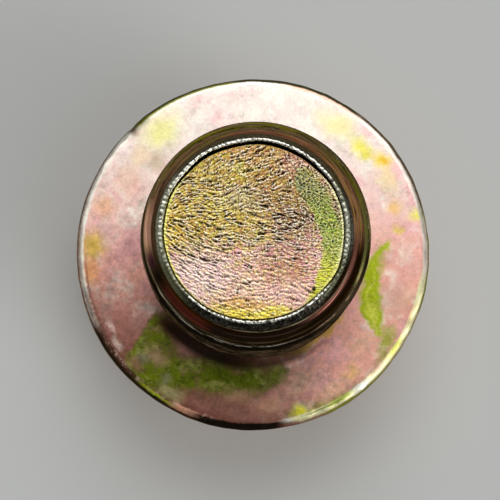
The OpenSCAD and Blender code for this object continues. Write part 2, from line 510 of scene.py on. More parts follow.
# %% Tie it to the frame
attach(plug, "root")
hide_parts("drain_plug")
print("the plug rides root and stands for drain_plug")

# %% [markdown]
# ## Writing a material as sums
# A material is a tree of nodes. Written out node by node it is long and hard to read, so one small
# class wraps a socket, and Python's own operators add the Math nodes.


# %% A socket that can be reckoned with
class Signal:
    """A number, a colour or a place somewhere in a node tree."""

    tree = None  # the node tree that is being written

    def __init__(self, socket):
        self.socket = socket

    @classmethod
    def node(cls, kind, settings=(), sockets=(), output=0):
        """Add a node of a kind. Its settings come first, such as an operation or a ramp's stops,
        and then its sockets, each from a value or from another signal."""
        made = cls.tree.nodes.new("ShaderNode" + kind)
        for name, value in dict(settings).items():
            if name == "stops":
                stops = made.color_ramp.elements
                stops.remove(stops[1])
                stops[0].position, stops[0].color = value[0]
                for position, shade in value[1:]:
                    stops.new(position).color = shade
            else:
                setattr(made, name, value)
        for name, value in dict(sockets).items():
            if isinstance(value, Signal):
                cls.tree.links.new(value.socket, made.inputs[name])
            else:
                made.inputs[name].default_value = value
        return cls(made.outputs[output])

    @classmethod
    def math(cls, operation, *values):
        return cls.node("Math", {"operation": operation}, enumerate(values))

    @classmethod
    def vector(cls, operation, *values, output=0):
        return cls.node("VectorMath", {"operation": operation}, enumerate(values), output)

    def __add__(self, other):
        return self.math("ADD", self, other)

    def __sub__(self, other):
        return self.math("SUBTRACT", self, other)

    def __rsub__(self, other):
        return self.math("SUBTRACT", other, self)

    def __mul__(self, other):
        return self.math("MULTIPLY", self, other)

    def __truediv__(self, other):
        return self.math("DIVIDE", self, other)

    __radd__, __rmul__ = __add__, __mul__


# %% Helpers for masks
def split(vector):
    """The three numbers in a vector."""
    return [Signal(part) for part in Signal.node("SeparateXYZ", {}, {0: vector}).socket.node.outputs]


def fade(value, start, end):
    """0 at start and 1 at end, on the s-curve 3t^2 - 2t^3. An end below its start turns it round."""
    return Signal.node("MapRange", {"interpolation_type": "SMOOTHSTEP"}, enumerate((value, start, end)))


def cloud(place, size, detail=2.0, roughness=0.5, seed=0.0, output=0):
    """Noise from 0 to 1 whose blotches are about size millimetres apart."""
    sockets = {"Vector": place, "W": seed, "Scale": 1 / size, "Detail": detail, "Roughness": roughness}
    return Signal.node("TexNoise", {"noise_dimensions": "4D"}, sockets, output)


def within(value, low, high, soft):
    """1 between low and high, fading to 0 over soft on both sides."""
    return fade(value, low - soft, low + soft) * fade(value, high + soft, high - soft)


# %% Helpers for colours
def colour(red, green, blue):
    """A colour as it looks on a screen, from 0 to 255, in the linear values that a shader takes: the
    share c of full becomes c / 12.92 where it is dark, and ((c + 0.055) / 1.055)^2.4 elsewhere."""
    share = np.array([red, green, blue]) / 255
    linear = np.where(share <= 0.04045, share / 12.92, ((share + 0.055) / 1.055) ** 2.4)
    return (*linear.tolist(), 1.0)


def blended(share, first, second):
    """The first colour where share is 0 and the second where it is 1. Each is a signal or how the colour
    looks on a screen. This is a Mix node, because a Math node would turn the colours grey."""
    first, second = [colour(*paint) if isinstance(paint, tuple) else paint for paint in (first, second)]
    return Signal.node("Mix", {"data_type": "RGBA"}, {0: share, 6: first, 7: second}, output=2)


def washes(under, table):
    """Colours laid one over the other, each where a signal fades in. A row of the table holds the
    signal, where its fade starts and ends, a strength and a colour."""
    for value, start, end, strength, shade in table:
        under = blended(fade(value, start, end) * strength, under, shade)
    return under


def scaled(paint, share):
    """A colour times a number, as a mix with black, whose share may be over 1."""
    settings = {"data_type": "RGBA", "clamp_factor": False}
    return Signal.node("Mix", settings, {0: share, 6: (0, 0, 0, 1), 7: paint}, output=2)


# %% [markdown]
# ## The chromate film
# Light and shade are painted into the film too: the darkest brown against the shank is painted shade,
# and so are the near-black front of the thread and the dark outer edges of the rim.
# Yellow chromate is a film far thinner than a hair on bright zinc. It has little colour of its own:
# light that goes through it and back beats against light from its surface, so pink, gold and green
# follow each other as the film gets thicker. Where the bath drained off, the bands are wide, and
# where it gathered, against the shank and under the rim, they crowd into olive and brown.
#
# Blender could reckon the interference from a film's thickness, but an exported part would show one
# thickness only. So the film is painted, as a metal whose base colour changes over the surface: a rose
# ground, then blooms laid over it one by one, in the order in which they cover each other.

# %% Colours of the film
PALE, CREAM, ROSE = (252, 234, 224), (254, 249, 234), (243, 178, 160)
PINK, SALMON, BROWN_ROSE = (248, 186, 188), (244, 178, 146), (134, 86, 74)
YELLOW, GOLD, ORANGE = (252, 242, 120), (222, 176, 86), (250, 206, 110)
LEAF, LIME, MOSS = (174, 190, 30), (214, 218, 84), (158, 158, 84)
OLIVE, DARK, SOOT = (104, 118, 18), (62, 50, 36), (28, 24, 17)
print("rose in linear values:", [round(value, 3) for value in colour(*ROSE)])

# %% A metal for the whole plug
film = bpy.data.materials.new("yellow_chromate")
film.use_nodes = True
Signal.tree = film.node_tree
zinc = film.node_tree.nodes["Principled BSDF"]
zinc.inputs["Metallic"].default_value = 1
zinc.inputs["Specular Tint"].default_value = (0.5, 0.45, 0.4, 1)  # the film dulls grazing light
mesh.materials.append(film)
print("materials of the skin:", [coat.name for coat in mesh.materials])

# %% Where a point lies, in millimetres
CUT = -165  # bearings run from here, where no bloom lies across the cut
object_place = Signal.node("TexCoord", output="Object")
place = Signal.node("VectorMath", {"operation": "SCALE"}, {0: object_place, "Scale": 1 / MM})
x, y, z = split(place)


def wander(middle, reach, size, seed):
    """The place in plan, measured from a middle on the X axis and moved about by up to half of reach
    by noise of a size, so that whatever is laid on it has a ragged edge. The noise adds four finer
    layers, each half as large as the one before. The steps are place + noise * reach, less the
    middle and half of reach, and then no height."""
    noise = cloud(place, size, 4.0, 0.62, seed, output=1)
    moved = Signal.vector("MULTIPLY_ADD", noise, (reach, reach, 0), place)
    moved = Signal.vector("SUBTRACT", moved, (middle + reach / 2, reach / 2, 0))
    return Signal.vector("MULTIPLY", moved, (1, 1, 0))


def polar(where):
    """The bearing in degrees, from CUT to CUT + 360, and the radius in millimetres."""
    east, north, _ = split(where)
    bearing = Signal.math("ARCTAN2", north, east) * math.degrees(1)
    radius = Signal.vector("LENGTH", where, output="Value")
    return Signal.math("WRAP", bearing, CUT + 360.0, float(CUT)), radius


print("nodes up to the place:", len(Signal.tree.nodes))


# %% Brushes
def oval(under, where, middle, halves, shade, strength=1.0, soft=0.6):
    """A soft oval of another colour, laid over what is under it: in full where the distance from its
    middle, in halves of its size, is under 1 - soft, and gone from 1 + soft on. where is two numbers,
    x and y or a bearing and a radius."""
    scale = (1 / halves[0], 1 / halves[1], 0)
    offset = (-middle[0] / halves[0], -middle[1] / halves[1], 0)
    local = Signal.vector("MULTIPLY_ADD", where, scale, offset)
    distance = Signal.vector("LENGTH", local, output="Value")
    return blended(fade(distance, 1 + soft, 1 - soft) * strength, under, shade)


def ribbon(ring, path, soft):
    """A mask of a band that follows a path round the axis: (bearing, radius, half width) a point, with
    even changes in between. It fades over soft on each side of its edge, so a half width of -soft
    ends it. The path is kept in a colour ramp, whose numbers lie from 0 to 1, as radius / 16 and as
    (half width + 1) / 4."""
    bearing, radius = ring
    low, high = path[0][0], path[-1][0]
    stops = [((b - low) / (high - low), (r / 16, (half + 1) / 4, 0, 1)) for b, r, half in path]
    kept = Signal.node("ValToRGB", {"stops": stops}, {0: (bearing - low) / (high - low)})
    parts = Signal.node("SeparateColor", {}, {0: kept}).socket.node.outputs
    middle, half = Signal(parts[0]) * 16, Signal(parts[1]) * 4 - 1
    return fade(Signal.math("ABSOLUTE", radius - middle) - half, soft, -soft)


def bands(under, ring, table):
    """Stretches of rings, laid one after the other over what is under them. A row of the table holds a
    first and a last bearing, an inner and an outer radius, a colour and a strength, and it may hold how
    far the stretch takes to fade, each way, at its ends and at its sides."""
    bearing, radius = ring
    for first, last, inner, outer, shade, strength, *soft in table:
        end_soft, side_soft = soft[0] if soft else (3.0, 0.05)
        half = (last - first) / 2
        off = Signal.math("WRAP", bearing - (first + half), 180.0, -180.0)
        along = fade(Signal.math("ABSOLUTE", off), half + end_soft, half - end_soft)
        under = blended(along * within(radius, inner, outer, side_soft) * strength, under, shade)
    return under


# %% [markdown]
# ## Film on the hidden sides
# The photograph shows the plug from above, so the head is finished as such a film goes on: blooms a
# few millimetres wide in rose, gold and mauve, with green where it is thickest.

# %% Film on the head and under the flange
thickness = cloud(place, 4.5, 5.0, 0.6, 4.0)
BLOOMS = [
    (0.30, (186, 136, 138)),
    (0.42, (224, 168, 152)),
    (0.49, (230, 190, 138)),
    (0.55, (234, 180, 160)),
    (0.62, (196, 178, 104)),
    (0.70, (224, 172, 152)),
]
stops = [(at, colour(*shade)) for at, shade in BLOOMS]
paint = Signal.node("ValToRGB", {"stops": stops}, {0: thickness})
print("blooms on the hidden sides:", len(BLOOMS))

# %% [markdown]
# ## Film on the seat
# The seat is the broad ring round the shank. It faces the light at the back and turns from it towards
# the front left, where the film is also thickest. Its ground goes from cream to rose to brown: the pale
# cream at the back is painted light, and the brown at the front left is painted shade over thicker film.

# %% Ground of the seat
ring = polar(Signal.vector("MULTIPLY", place, (1, 1, 0)))
seat_place = wander(0, 1.4, 0.9, 1.0)
seat_ring = polar(seat_place)
seat_polar = Signal.node("CombineXYZ", {}, enumerate(seat_ring))
seat_x, seat_y, _ = split(seat_place)
broad, narrow = cloud(place, 2.0, 4.0, 0.62, 2.0), cloud(place, 0.8, 5.0, 0.66, 3.0)
SHADE_BEARING = math.radians(240)  # the bearing towards which painted shade darkens the seat, where the film is also thickest
toward_shade = seat_x * math.cos(SHADE_BEARING) + seat_y * math.sin(SHADE_BEARING)
# pink and cream blooms, cream mottle stronger at the back as painted light, mauve mottle, and brown
# towards the front left as painted shade
SEAT_WASHES = [
    (broad, 0.5, 0.66, 0.7, PINK),
    (broad, 0.48, 0.36, 0.6, CREAM),
    (narrow, 0.5, 0.7, fade(seat_y, -8.0, 6.0) * 0.6, CREAM),
    (narrow, 0.46, 0.3, 0.45, (226, 180, 196)),
    (toward_shade, 2.5, 10.8, 1.0, BROWN_ROSE),
]
# rose in front to pale at the back: a gradient of painted light
seat = washes(blended(fade(seat_y, -2.0, 8.0), ROSE, PALE), SEAT_WASHES)
print("nodes up to the ground of the seat:", len(Signal.tree.nodes))

# %% Paths of the thick film
LEAF_PATH = [  # each point is a bearing, a radius and half a width
    (-36, 9.9, -0.6), (-33, 9.5, 0.3), (-30, 8.9, 0.65), (-27, 8.5, 0.78), (-23, 8.25, 0.72),
    (-18, 8.0, 0.48), (-11, 7.87, 0.38), (-4, 8.0, 0.3), (1, 8.3, 0.22), (4, 8.6, 0.12),
    (7, 8.8, -0.6),
]
DULL_PATH = [
    (-80, 10.8, -0.5), (-76, 10.75, 0.35), (-69, 10.9, 0.35), (-62, 10.95, 0.2),
    (-54, 11.05, 0.1), (-44, 11.1, 0.05), (-37, 10.6, 0.35), (-33, 10.3, 0.75),
    (-29, 10.2, 0.55), (-25, 10.3, -0.4),
]
OLIVE_PATH = [
    (-151, 7.3, -0.7), (-147, 7.5, 0.3), (-143, 8.0, 0.9), (-140, 9.1, 1.6), (-136, 9.5, 1.8),
    (-130, 9.7, 1.65), (-124, 9.7, 1.45), (-119, 9.3, 1.35), (-113, 8.7, 1.1),
    (-106, 8.45, 1.05), (-97, 8.35, 1.0), (-90, 8.2, 0.9), (-84, 8.1, 0.7), (-77, 8.0, 0.35),
    (-72, 8.0, -0.6),
]
print("points on the paths:", len(LEAF_PATH), len(DULL_PATH), len(OLIVE_PATH))

# %% Thick film: the leaf-green crescent and the olive arc
hue = cloud(place, 0.9, 4.0, 0.62, 21.0)
fine = cloud(place, 0.35, 4.0, 0.7, 27.0)
dull = blended(fade(hue, 0.4, 0.6), (158, 166, 56), (204, 192, 120))
seat = blended(ribbon(seat_ring, DULL_PATH, 0.5) * 0.9, seat, dull)
leaf = ribbon(seat_ring, LEAF_PATH, 0.6)
mottle = cloud(place, 0.8, 5.0, 0.68, 22.0)
pooled = ribbon(seat_ring, OLIVE_PATH, 0.95) + (mottle - 0.5) * 1.2
LIME_WASHES = [
    (leaf, 0.7, 1.0, fade(hue, 0.36, 0.56), LIME),
    (fine, 0.5, 0.34, 0.5, (128, 146, 30)),
]
OLIVE_WASHES = [
    (mottle, 0.48, 0.62, 0.8, MOSS),
    (fine, 0.52, 0.36, 0.7, (66, 76, 14)),
    (hue, 0.54, 0.66, 0.6, (138, 104, 78)),
]
THICK_WASHES = [
    (leaf, 0.0, 0.4, 0.5, (214, 200, 120)),
    (leaf, 0.15, 0.75, 1.0, washes(LEAF, LIME_WASHES)),
    (pooled, 0.0, 0.5, 0.75, (126, 104, 66)),
    (pooled, 0.2, 0.9, 0.95, washes(OLIVE, OLIVE_WASHES)),
]
seat = washes(seat, THICK_WASHES)
print("nodes up to the thick film:", len(Signal.tree.nodes))

# %% Blooms on the seat
SEAT_BLOOMS = [
    # bearing, radius, half length, half width, colour, strength
    # pale cream at the back: cream film and painted highlight
    (66, 10.2, 2.4, 0.9, CREAM, 0.45),
    (56, 10.0, 1.3, 0.7, (252, 244, 160), 0.7),
    (127, 10.0, 1.3, 1.0, (252, 246, 182), 0.85),
    (128, 9.9, 0.8, 0.6, (248, 244, 150), 0.6),
    (140, 9.8, 0.6, 0.5, (250, 218, 166), 0.6),
    # painted shade by the shank, grey-green
    (137, 8.7, 0.6, 0.6, (200, 182, 142), 0.65),
    (150, 9.4, 0.9, 0.8, (250, 206, 178), 0.6),
    (163, 10.2, 0.7, 0.6, (244, 184, 134), 0.6),
    (171, 9.6, 0.8, 0.7, (214, 180, 168), 0.6),
    (176, 7.9, 1.0, 0.8, (184, 132, 140), 0.6),
    (178, 10.4, 0.9, 0.7, (216, 180, 84), 0.95),
    (187, 10.7, 0.7, 0.5, (226, 160, 104), 0.8),
    (184, 9.0, 1.0, 0.9, (206, 152, 146), 0.5),
    (45, 9.95, 0.55, 0.55, YELLOW, 1.0),
    (41, 9.9, 0.4, 0.4, (238, 226, 60), 0.8),
    (36, 10.4, 0.65, 0.5, (252, 222, 100), 1.0),
    (35, 10.4, 0.35, 0.3, (246, 196, 40), 0.9),
    (29, 10.0, 0.9, 0.5, (250, 220, 150), 0.6),
    (18, 9.7, 0.5, 0.4, ORANGE, 0.7),
    (9, 9.6, 0.4, 0.3, (238, 212, 100), 0.8),
    (13, 11.05, 0.45, 0.4, (246, 238, 110), 0.9),
    (-13, 10.4, 0.8, 0.6, SALMON, 0.7),
    (-19, 9.7, 0.9, 0.8, (206, 178, 150), 0.6),
    (-40, 9.2, 1.0, 0.6, (226, 186, 150), 0.5),
    (-51, 9.95, 0.5, 0.4, ORANGE, 0.5),
    (-60, 10.2, 0.9, 0.5, (236, 196, 150), 0.5),
    (-70, 8.9, 1.2, 0.6, (196, 164, 136), 0.6),
    (-74, 10.95, 0.45, 0.3, (232, 226, 50), 0.95),
    (-133, 9.1, 0.7, 0.5, (184, 142, 120), 0.6),
    (-136, 9.9, 0.3, 0.4, (126, 118, 104), 0.7),
    (-7, 10.3, 1.1, 0.7, (238, 180, 166), 0.8),
    (-15, 9.5, 0.9, 0.5, (226, 170, 158), 0.7),
    (-136, 10.4, 0.5, 0.4, (136, 96, 76), 0.8),
    (-120, 10.6, 0.8, 0.3, (178, 166, 120), 0.75),
    (-124, 10.0, 0.4, 0.3, (150, 146, 110), 0.7),
    # dark red by the shank: film and painted shade
    (-137, 7.4, 0.7, 0.4, (120, 66, 60), 0.85),
    (-104, 10.2, 2.0, 0.45, (150, 104, 88), 0.8),
    (-96, 9.4, 0.8, 0.4, (188, 150, 116), 0.6),
    (-84, 10.0, 0.9, 0.5, (200, 156, 126), 0.6),
    (-152, 10.4, 0.35, 0.14, (236, 206, 196), 0.6),
    (-146, 10.6, 0.5, 0.22, (226, 204, 190), 0.6),
]
for bearing, radius, length, width, shade, strength in SEAT_BLOOMS:
    halves = (length / radius * math.degrees(1), width)
    seat = oval(seat, seat_polar, (bearing, radius), halves, shade, strength, 0.85)
print("blooms on the seat:", len(SEAT_BLOOMS))

# %% Film, and painted shade, in the corner between the seat and the shank
CORNER_FILM = [
    (-72, -36, 6.7, 7.2, GOLD, 0.9, (6.0, 0.15)),
    (-66, -46, 7.35, 7.6, (176, 112, 120), 0.6, (5.0, 0.15)),
]
# painted shade: the shadow under the thread and its dark reflection in the seat, nearly black, then dark
# brown
CORNER_SHADE = [
    (-146, -88, 5.0, 7.65, (30, 25, 12), 0.95, (10.0, 0.3)),
    (-96, -60, 5.0, 7.5, (84, 54, 36), 0.8, (10.0, 0.2)),
]
seat = bands(seat, seat_ring, CORNER_FILM)
seat = bands(seat, ring, CORNER_SHADE)
print("nodes up to the corner:", len(Signal.tree.nodes))

# %% Film on the rim's edge, with painted highlights and painted shade
rim_place = wander(0, 0.2, 0.35, 5.0)
rim = polar(rim_place)
RIM_FILM_AND_LIGHT = [
    # painted highlight: a cream line along the rounded edge
    (-12, 206, 11.05, 11.36, CREAM, 0.75),
    # painted shade on the outer edge at the back
    (52, 134, 11.26, 12.0, (70, 70, 26), 0.95),
    (96, 133, 11.18, 11.32, (160, 162, 70), 0.85),
    (52, 80, 11.12, 11.3, (248, 190, 164), 0.7),
    # painted shade on the outer edge at the right
    (12, 52, 11.32, 12.0, (112, 92, 50), 0.9),
    (-16, 12, 11.36, 12.0, (146, 148, 78), 0.85),
    # painted shade on the outer edge at the left, with the next row
    (134, 172, 11.38, 12.0, (96, 92, 62), 0.85),
    (172, 206, 11.4, 12.0, (126, 104, 78), 0.8),
    # painted highlight: the brightest stretch of the rounded edge, at the right in front
    (-76, -8, 10.94, 11.34, (255, 250, 196), 0.97),
    (-66, -8, 11.36, 12.0, (150, 162, 52), 0.9),
    (-64, -54, 10.9, 11.2, LEAF, 0.7),
    (-46, -40, 10.9, 11.2, (240, 198, 170), 0.8),
    (-38, -30, 10.95, 11.25, LIME, 0.8),
    (-26, -18, 10.95, 11.15, (240, 206, 150), 0.7),
    (-72, -58, 11.0, 11.12, (120, 134, 40), 0.8),
    (-54, -49, 10.9, 11.35, CREAM, 1.0),
    (-80, -77, 11.0, 11.25, CREAM, 0.95),
    # painted shade on the flange's side in front, black, with the next row
    (-111, -80, 11.1, 12.0, SOOT, 0.97),
    (-155, -111, 11.26, 12.0, (52, 44, 24), 0.95),
    (-131, -116, 11.1, 11.27, (190, 204, 44), 1.0),
    (-118, -110, 10.98, 11.34, SALMON, 0.95),
    (-153, -131, 11.0, 11.3, (86, 58, 44), 0.85),
    (-166, -150, 10.98, 11.26, (132, 100, 86), 0.7),
    (-176, -140, 10.86, 10.96, (112, 70, 62), 0.6),
]
seat = bands(seat, rim, RIM_FILM_AND_LIGHT)
print("bands on the rim:", len(RIM_FILM_AND_LIGHT))

# %% Chips and the nick in the rim
chips = fade(cloud(place, 0.3, 4.0, 0.7, 6.0), 0.5, 0.6)
chips = chips * within(rim[0], -166.0, -104.0, 2.0) * within(rim[1], 10.95, 11.25, 0.08)
seat = blended(chips * 0.4, seat, (236, 206, 180))
rim_polar = Signal.node("CombineXYZ", {}, enumerate(rim))
seat = oval(seat, rim_polar, (131.0, 11.3), (3.4, 0.3), (112, 112, 44), 0.8, 0.8)  # by the nick
seat = oval(seat, rim_polar, (134.6, 11.2), (1.3, 0.34), (104, 80, 66), 0.8, 0.9)  # in it
print("nodes up to the nick:", len(Signal.tree.nodes))

# %% Mottle that is stronger where the film is thick
speckle = cloud(place, 0.45, 4.0, 0.7, 23.0)
thick = 0.5 + fade(toward_shade, -3.0, 7.0) * 1.1
seat = scaled(seat, 1 + (speckle - 0.5) * thick)
print("nodes up to the mottle:", len(Signal.tree.nodes))

# %% [markdown]
# ## Film on the shank
# The thread was rolled, so its film lies in streaks along the turns: brown and olive behind. It is
# painted nearly black in front, as painted shade, and dark on the outer flanks at the back and left too.
# The crests are worn back to bright zinc, and the thin bright lines on them are worn zinc and painted
# highlight together; a salmon patch at the left is a painted reflection. A streak is noise on a place
# whose X and Y are squeezed, so it changes little along a turn and much across it. The bands lie at a
# radius, and so on one side of the thread's flanks or on its crests.

# %% Streaks round the shank
bearing, radius = ring
streak_place = Signal.node("CombineXYZ", {}, {0: x * 0.25, 1: y * 0.25, 2: (z - radius) * 2.0})
streak = cloud(streak_place, 0.9, 4.0, 0.6, 7.0)
grime = cloud(streak_place, 0.5, 5.0, 0.7, 8.0)
scuffs = cloud(streak_place, 0.2, 3.0, 0.7, 29.0)
SHANK_WASHES = [
    (radius, 6.3, 6.8, 1.0, (140, 124, 72)),
    (streak, 0.5, 0.6, 0.85, (160, 150, 36)),
    (streak, 0.47, 0.38, 0.85, (158, 84, 66)),
    (grime, 0.5, 0.6, 0.85, (54, 42, 30)),
    (scuffs, 0.6, 0.68, 0.7, (230, 220, 196)),
]
shank = washes((196, 140, 104), SHANK_WASHES)
print("nodes up to the streaks:", len(Signal.tree.nodes))

# %% Bands round the shank
lines = fade(cloud(streak_place, 0.3, 3.0, 0.7, 28.0), 0.44, 0.58)  # breaks in the thin bright bands
SHANK_FILM_AND_LIGHT = [
    # painted shade: the outer flanks at the back, dark
    (20, 160, 6.9, 8.0, DARK, 0.9, (14.0, 0.06)),
    (150, 210, 5.8, 6.25, (58, 44, 38), 0.8, (12.0, 0.1)),
    # painted reflection: a salmon patch on the lead cone at the left
    (166, 188, 6.3, 6.74, (255, 192, 160), 1.0, (8.0, 0.06)),
    (190, 200, 6.3, 6.72, (120, 56, 84), 0.9, (5.0, 0.08)),
    # painted shade on the outer flanks at the left
    (160, 200, 6.78, 8.0, (66, 62, 40), 0.9, (10.0, 0.03)),
    # painted shade: the whole front of the shank nearly black
    (-166, -4, 0.0, 8.0, (27, 21, 16), 0.98, (10.0, 0.1)),
    (-150, -118, 6.1, 6.5, (112, 50, 38), 0.85, (6.0, 0.08)),
    (-112, -64, 6.2, 6.27, (92, 66, 52), 0.8, (10.0, 0.03)),
    (-58, -4, 5.9, 6.14, (158, 100, 86), 0.9, (12.0, 0.08)),
    # thin bright lines on the crests: worn zinc and painted highlight, weaker at the right
    (-160, -74, 6.68, 6.74, (255, 244, 222), 0.95 * lines, (14.0, 0.03)),
    (-74, -8, 6.68, 6.74, (160, 126, 100), 0.75 * lines, (10.0, 0.03)),
    (-150, -30, 6.52, 6.55, (120, 104, 84), 0.6 * lines, (14.0, 0.03)),
    (-20, 14, 6.6, 6.8, (150, 150, 84), 0.7, (10.0, 0.05)),
]
shank = bands(shank, ring, SHANK_FILM_AND_LIGHT)
print("bands on the shank:", len(SHANK_FILM_AND_LIGHT))

# %% Worn crests, with painted shade and painted highlights on the crests in front
climb = (bearing - GROOVE_START) * (PITCH / 360)
rise = Signal.math("WRAP", z - GROOVE_LOW_Z - climb, PITCH / 2, -PITCH / 2)  # above a groove's middle
crest = fade(Signal.math("ABSOLUTE", rise), PITCH * 0.4, PITCH * 0.46)
worn = fade(cloud(streak_place, 0.35, 3.0, 0.6, 9.0), 0.4, 0.6)
worn = worn * crest * fade(z, THREAD_LOW_Z, THREAD_LOW_Z + 0.2) * fade(radius, 6.4, 6.9)
shank = blended(worn * 0.6, shank, (190, 172, 140))
# blotches of painted shade for the crests in front
crest_shade = fade(cloud(streak_place, 0.16, 3.0, 0.7, 31.0), 0.66, 0.54)
crest_edge = fade(Signal.math("ABSOLUTE", rise + GROOVE_HALF), 0.04, 0.015) * lines
FRONT_BANDS = [
    # blotches of painted shade on the crests in front, a painted highlight on the upper edge of each,
    # and a light line along the edge below the lip
    (-160, -8, 6.78, 8.0, (34, 27, 18), 0.95 * crest_shade, (14.0, 0.05)),
    (-178, -14, 6.6, 8.0, (132, 106, 82), 0.6 * crest_edge, (10.0, 0.05)),
    (-166, -14, 5.92, 5.98, (190, 182, 150), 0.85 * lines, (10.0, 0.03)),
]
shank = bands(shank, ring, FRONT_BANDS)
print("nodes up to the crests:", len(Signal.tree.nodes))

# %% [markdown]
# ## Film on the tip
# The face of the tip keeps the strokes of the trimming tool under its film. The film is gold at the
# back and rose in front, with a green crescent on the right, and it is yellow along the edge.

# %% Ground of the face
face_place = wander(LIP_SHIFT, 1.1, 0.7, 10.0)
face_ring = polar(face_place)
east, north, _ = split(face_place)
level = north - east * 0.28 - fade(east, -3.2, -4.8) * 0.9
blend = cloud(place, 0.9, 5.0, 0.7, 26.0)
fleck, tint = cloud(place, 0.3, 3.0, 0.7, 24.0), cloud(place, 0.36, 4.0, 0.7, 25.0)
TIP_WASHES = [
    (level + (blend - 0.5) * 3.0, -0.3, -1.3, 1.0, (255, 206, 196)),
    (fleck, 0.53, 0.6, 0.7, (252, 244, 206)),
    (fleck, 0.46, 0.39, 0.85, (176, 110, 66)),
    (tint, 0.51, 0.58, fade(level, -3.0, 0.0) * 0.8, (214, 214, 70)),
    (tint, 0.48, 0.4, fade(level, 1.5, -1.0) * 0.8, (240, 164, 192)),
    (tint, 0.54, 0.62, fade(level, 1.0, -1.0) * 0.5, (200, 160, 84)),
]
tip = washes((234, 194, 96), TIP_WASHES)
print("nodes up to the ground of the face:", len(Signal.tree.nodes))

# %% Blooms on the face
FACE_BLOOMS = [
    # x, y, half width, half height, colour, strength
    (0.4, 4.8, 2.0, 0.6, (200, 136, 76), 0.7),
    (-2.9, 3.4, 1.2, 1.0, (214, 186, 80), 0.6),
    (-1.6, 1.1, 1.6, 1.1, (236, 214, 80), 0.5),
    (-0.5, 2.0, 1.4, 0.7, (214, 216, 190), 0.45),
    (-4.75, 0.3, 0.55, 1.4, (255, 216, 76), 0.85),
    (1.4, 2.4, 1.5, 1.5, (180, 122, 88), 0.6),
    (2.5, 4.2, 1.0, 0.7, (222, 156, 150), 0.8),
    (2.5, 0.5, 1.5, 1.2, (136, 96, 88), 0.75),
    (2.1, 1.3, 0.9, 0.7, (146, 112, 84), 0.5),
    (1.9, -1.2, 1.8, 0.8, (180, 126, 122), 0.65),
    (-0.3, -0.4, 1.6, 0.35, (196, 190, 110), 0.4),
    (1.8, -2.5, 1.6, 0.9, (190, 132, 98), 0.6),
    (-0.2, -2.9, 0.9, 0.6, (255, 220, 194), 0.6),
    (1.9, -3.6, 1.1, 0.6, (255, 210, 200), 0.75),
    (3.0, -4.0, 1.0, 0.8, (255, 204, 196), 0.8),
    (-3.2, -2.6, 1.8, 1.5, (255, 222, 222), 0.85),
    (-0.8, -4.4, 1.6, 0.5, (236, 190, 96), 0.8),
    (1.3, -4.7, 0.9, 0.28, (255, 236, 90), 1.0),
]
for middle_x, middle_y, half_x, half_y, shade, strength in FACE_BLOOMS:
    tip = oval(tip, face_place, (middle_x, middle_y), (half_x, half_y), shade, strength)
print("blooms on the face:", len(FACE_BLOOMS))

# %% The green crescent and the yellow edge
GREEN_PATH = [  # bearing, radius, half width
    (-60, 5.4, -0.4), (-53, 5.4, 0.25), (-40, 5.2, 0.5), (-31, 5.1, 0.58), (-20, 4.95, 0.65),
    (-9, 4.8, 0.77), (3, 4.72, 0.82), (17, 4.5, 0.8), (26, 4.3, 0.8), (35, 4.2, 0.8),
    (44, 4.25, 0.75), (50, 4.4, 0.6), (56, 4.6, 0.1), (62, 4.6, -0.6),
]
CRESCENT_WASHES = [
    (north, 3.4, 0.6, 1.0, (158, 184, 76)),
    (north, -0.8, -2.6, 1.0, (214, 218, 70)),
    (fleck, 0.5, 0.6, 0.5, (214, 214, 150)),
    (tint, 0.48, 0.38, 0.6, (96, 120, 50)),
]
crescent = washes((150, 152, 104), CRESCENT_WASHES)
on_green = fade(ribbon(face_ring, GREEN_PATH, 0.35) + (tint - 0.5) * 1.4, 0.2, 0.8)
tip = blended(on_green, tip, crescent)
FACE_BANDS = [
    (8, 52, 5.02, 6.0, (196, 158, 142), 0.8, (8.0, 0.12)),
    (246, 288, 4.75, 6.0, (255, 236, 80), 0.95, (10.0, 0.14)),
]
tip = bands(tip, face_ring, FACE_BANDS)
print("nodes up to the crescent:", len(Signal.tree.nodes))

# %% [markdown]
# ## Film, painted shade and painted highlights in the strokes
# Light and shade are painted into the strokes: the bottom of a stroke is painted dark brown, as painted
# shade, and its upper edges are painted bright, as painted highlights. The mesh holds the relief as an
# attribute, so the colour follows the very strokes that the light falls on. Crumbs of gold and rose lie
# between them, and painted glints and specks of dirt go over all.

# %% Strokes on the face
pressed = Signal.node("Attribute", {"attribute_name": "stroke"}, output="Fac")
crumbs, glints = cloud(place, 0.14, 2.0, 0.6, 30.0), cloud(place, 0.17, 3.0, 0.7, 33.0)
CRUMB_AND_SHADE_WASHES = [
    (crumbs, 0.5, 0.62, 0.5, (236, 210, 96)),
    (crumbs, 0.48, 0.38, 0.5 - on_green * 0.4, (196, 130, 110)),
    # painted shade: brown in the bottoms of the strokes
    (pressed, 0.3, -1.2, 0.5, (132, 70, 44)),
]
tip = washes(tip, CRUMB_AND_SHADE_WASHES)
# the colour darkened in the strokes as painted shade, less in front
in_front = fade(level, 0.2, -1.6)
tip = scaled(tip, 0.03 + fade(pressed + in_front * 0.45, -1.3, 0.7) * 1.04)
GLINT_WASHES = [
    # painted highlights on the upper edges of the strokes, then painted glints, then specks of dirt
    (pressed, 0.3, 1.0, 0.85 - on_green * 0.6, (255, 246, 230)),
    (glints, 0.55, 0.64, 0.6 - on_green * 0.3, (255, 252, 214)),
    (glints, 0.44, 0.35, 0.6 - on_green * 0.3, (92, 56, 34)),
]
tip = washes(tip, GLINT_WASHES)
print("nodes up to the strokes:", len(Signal.tree.nodes))

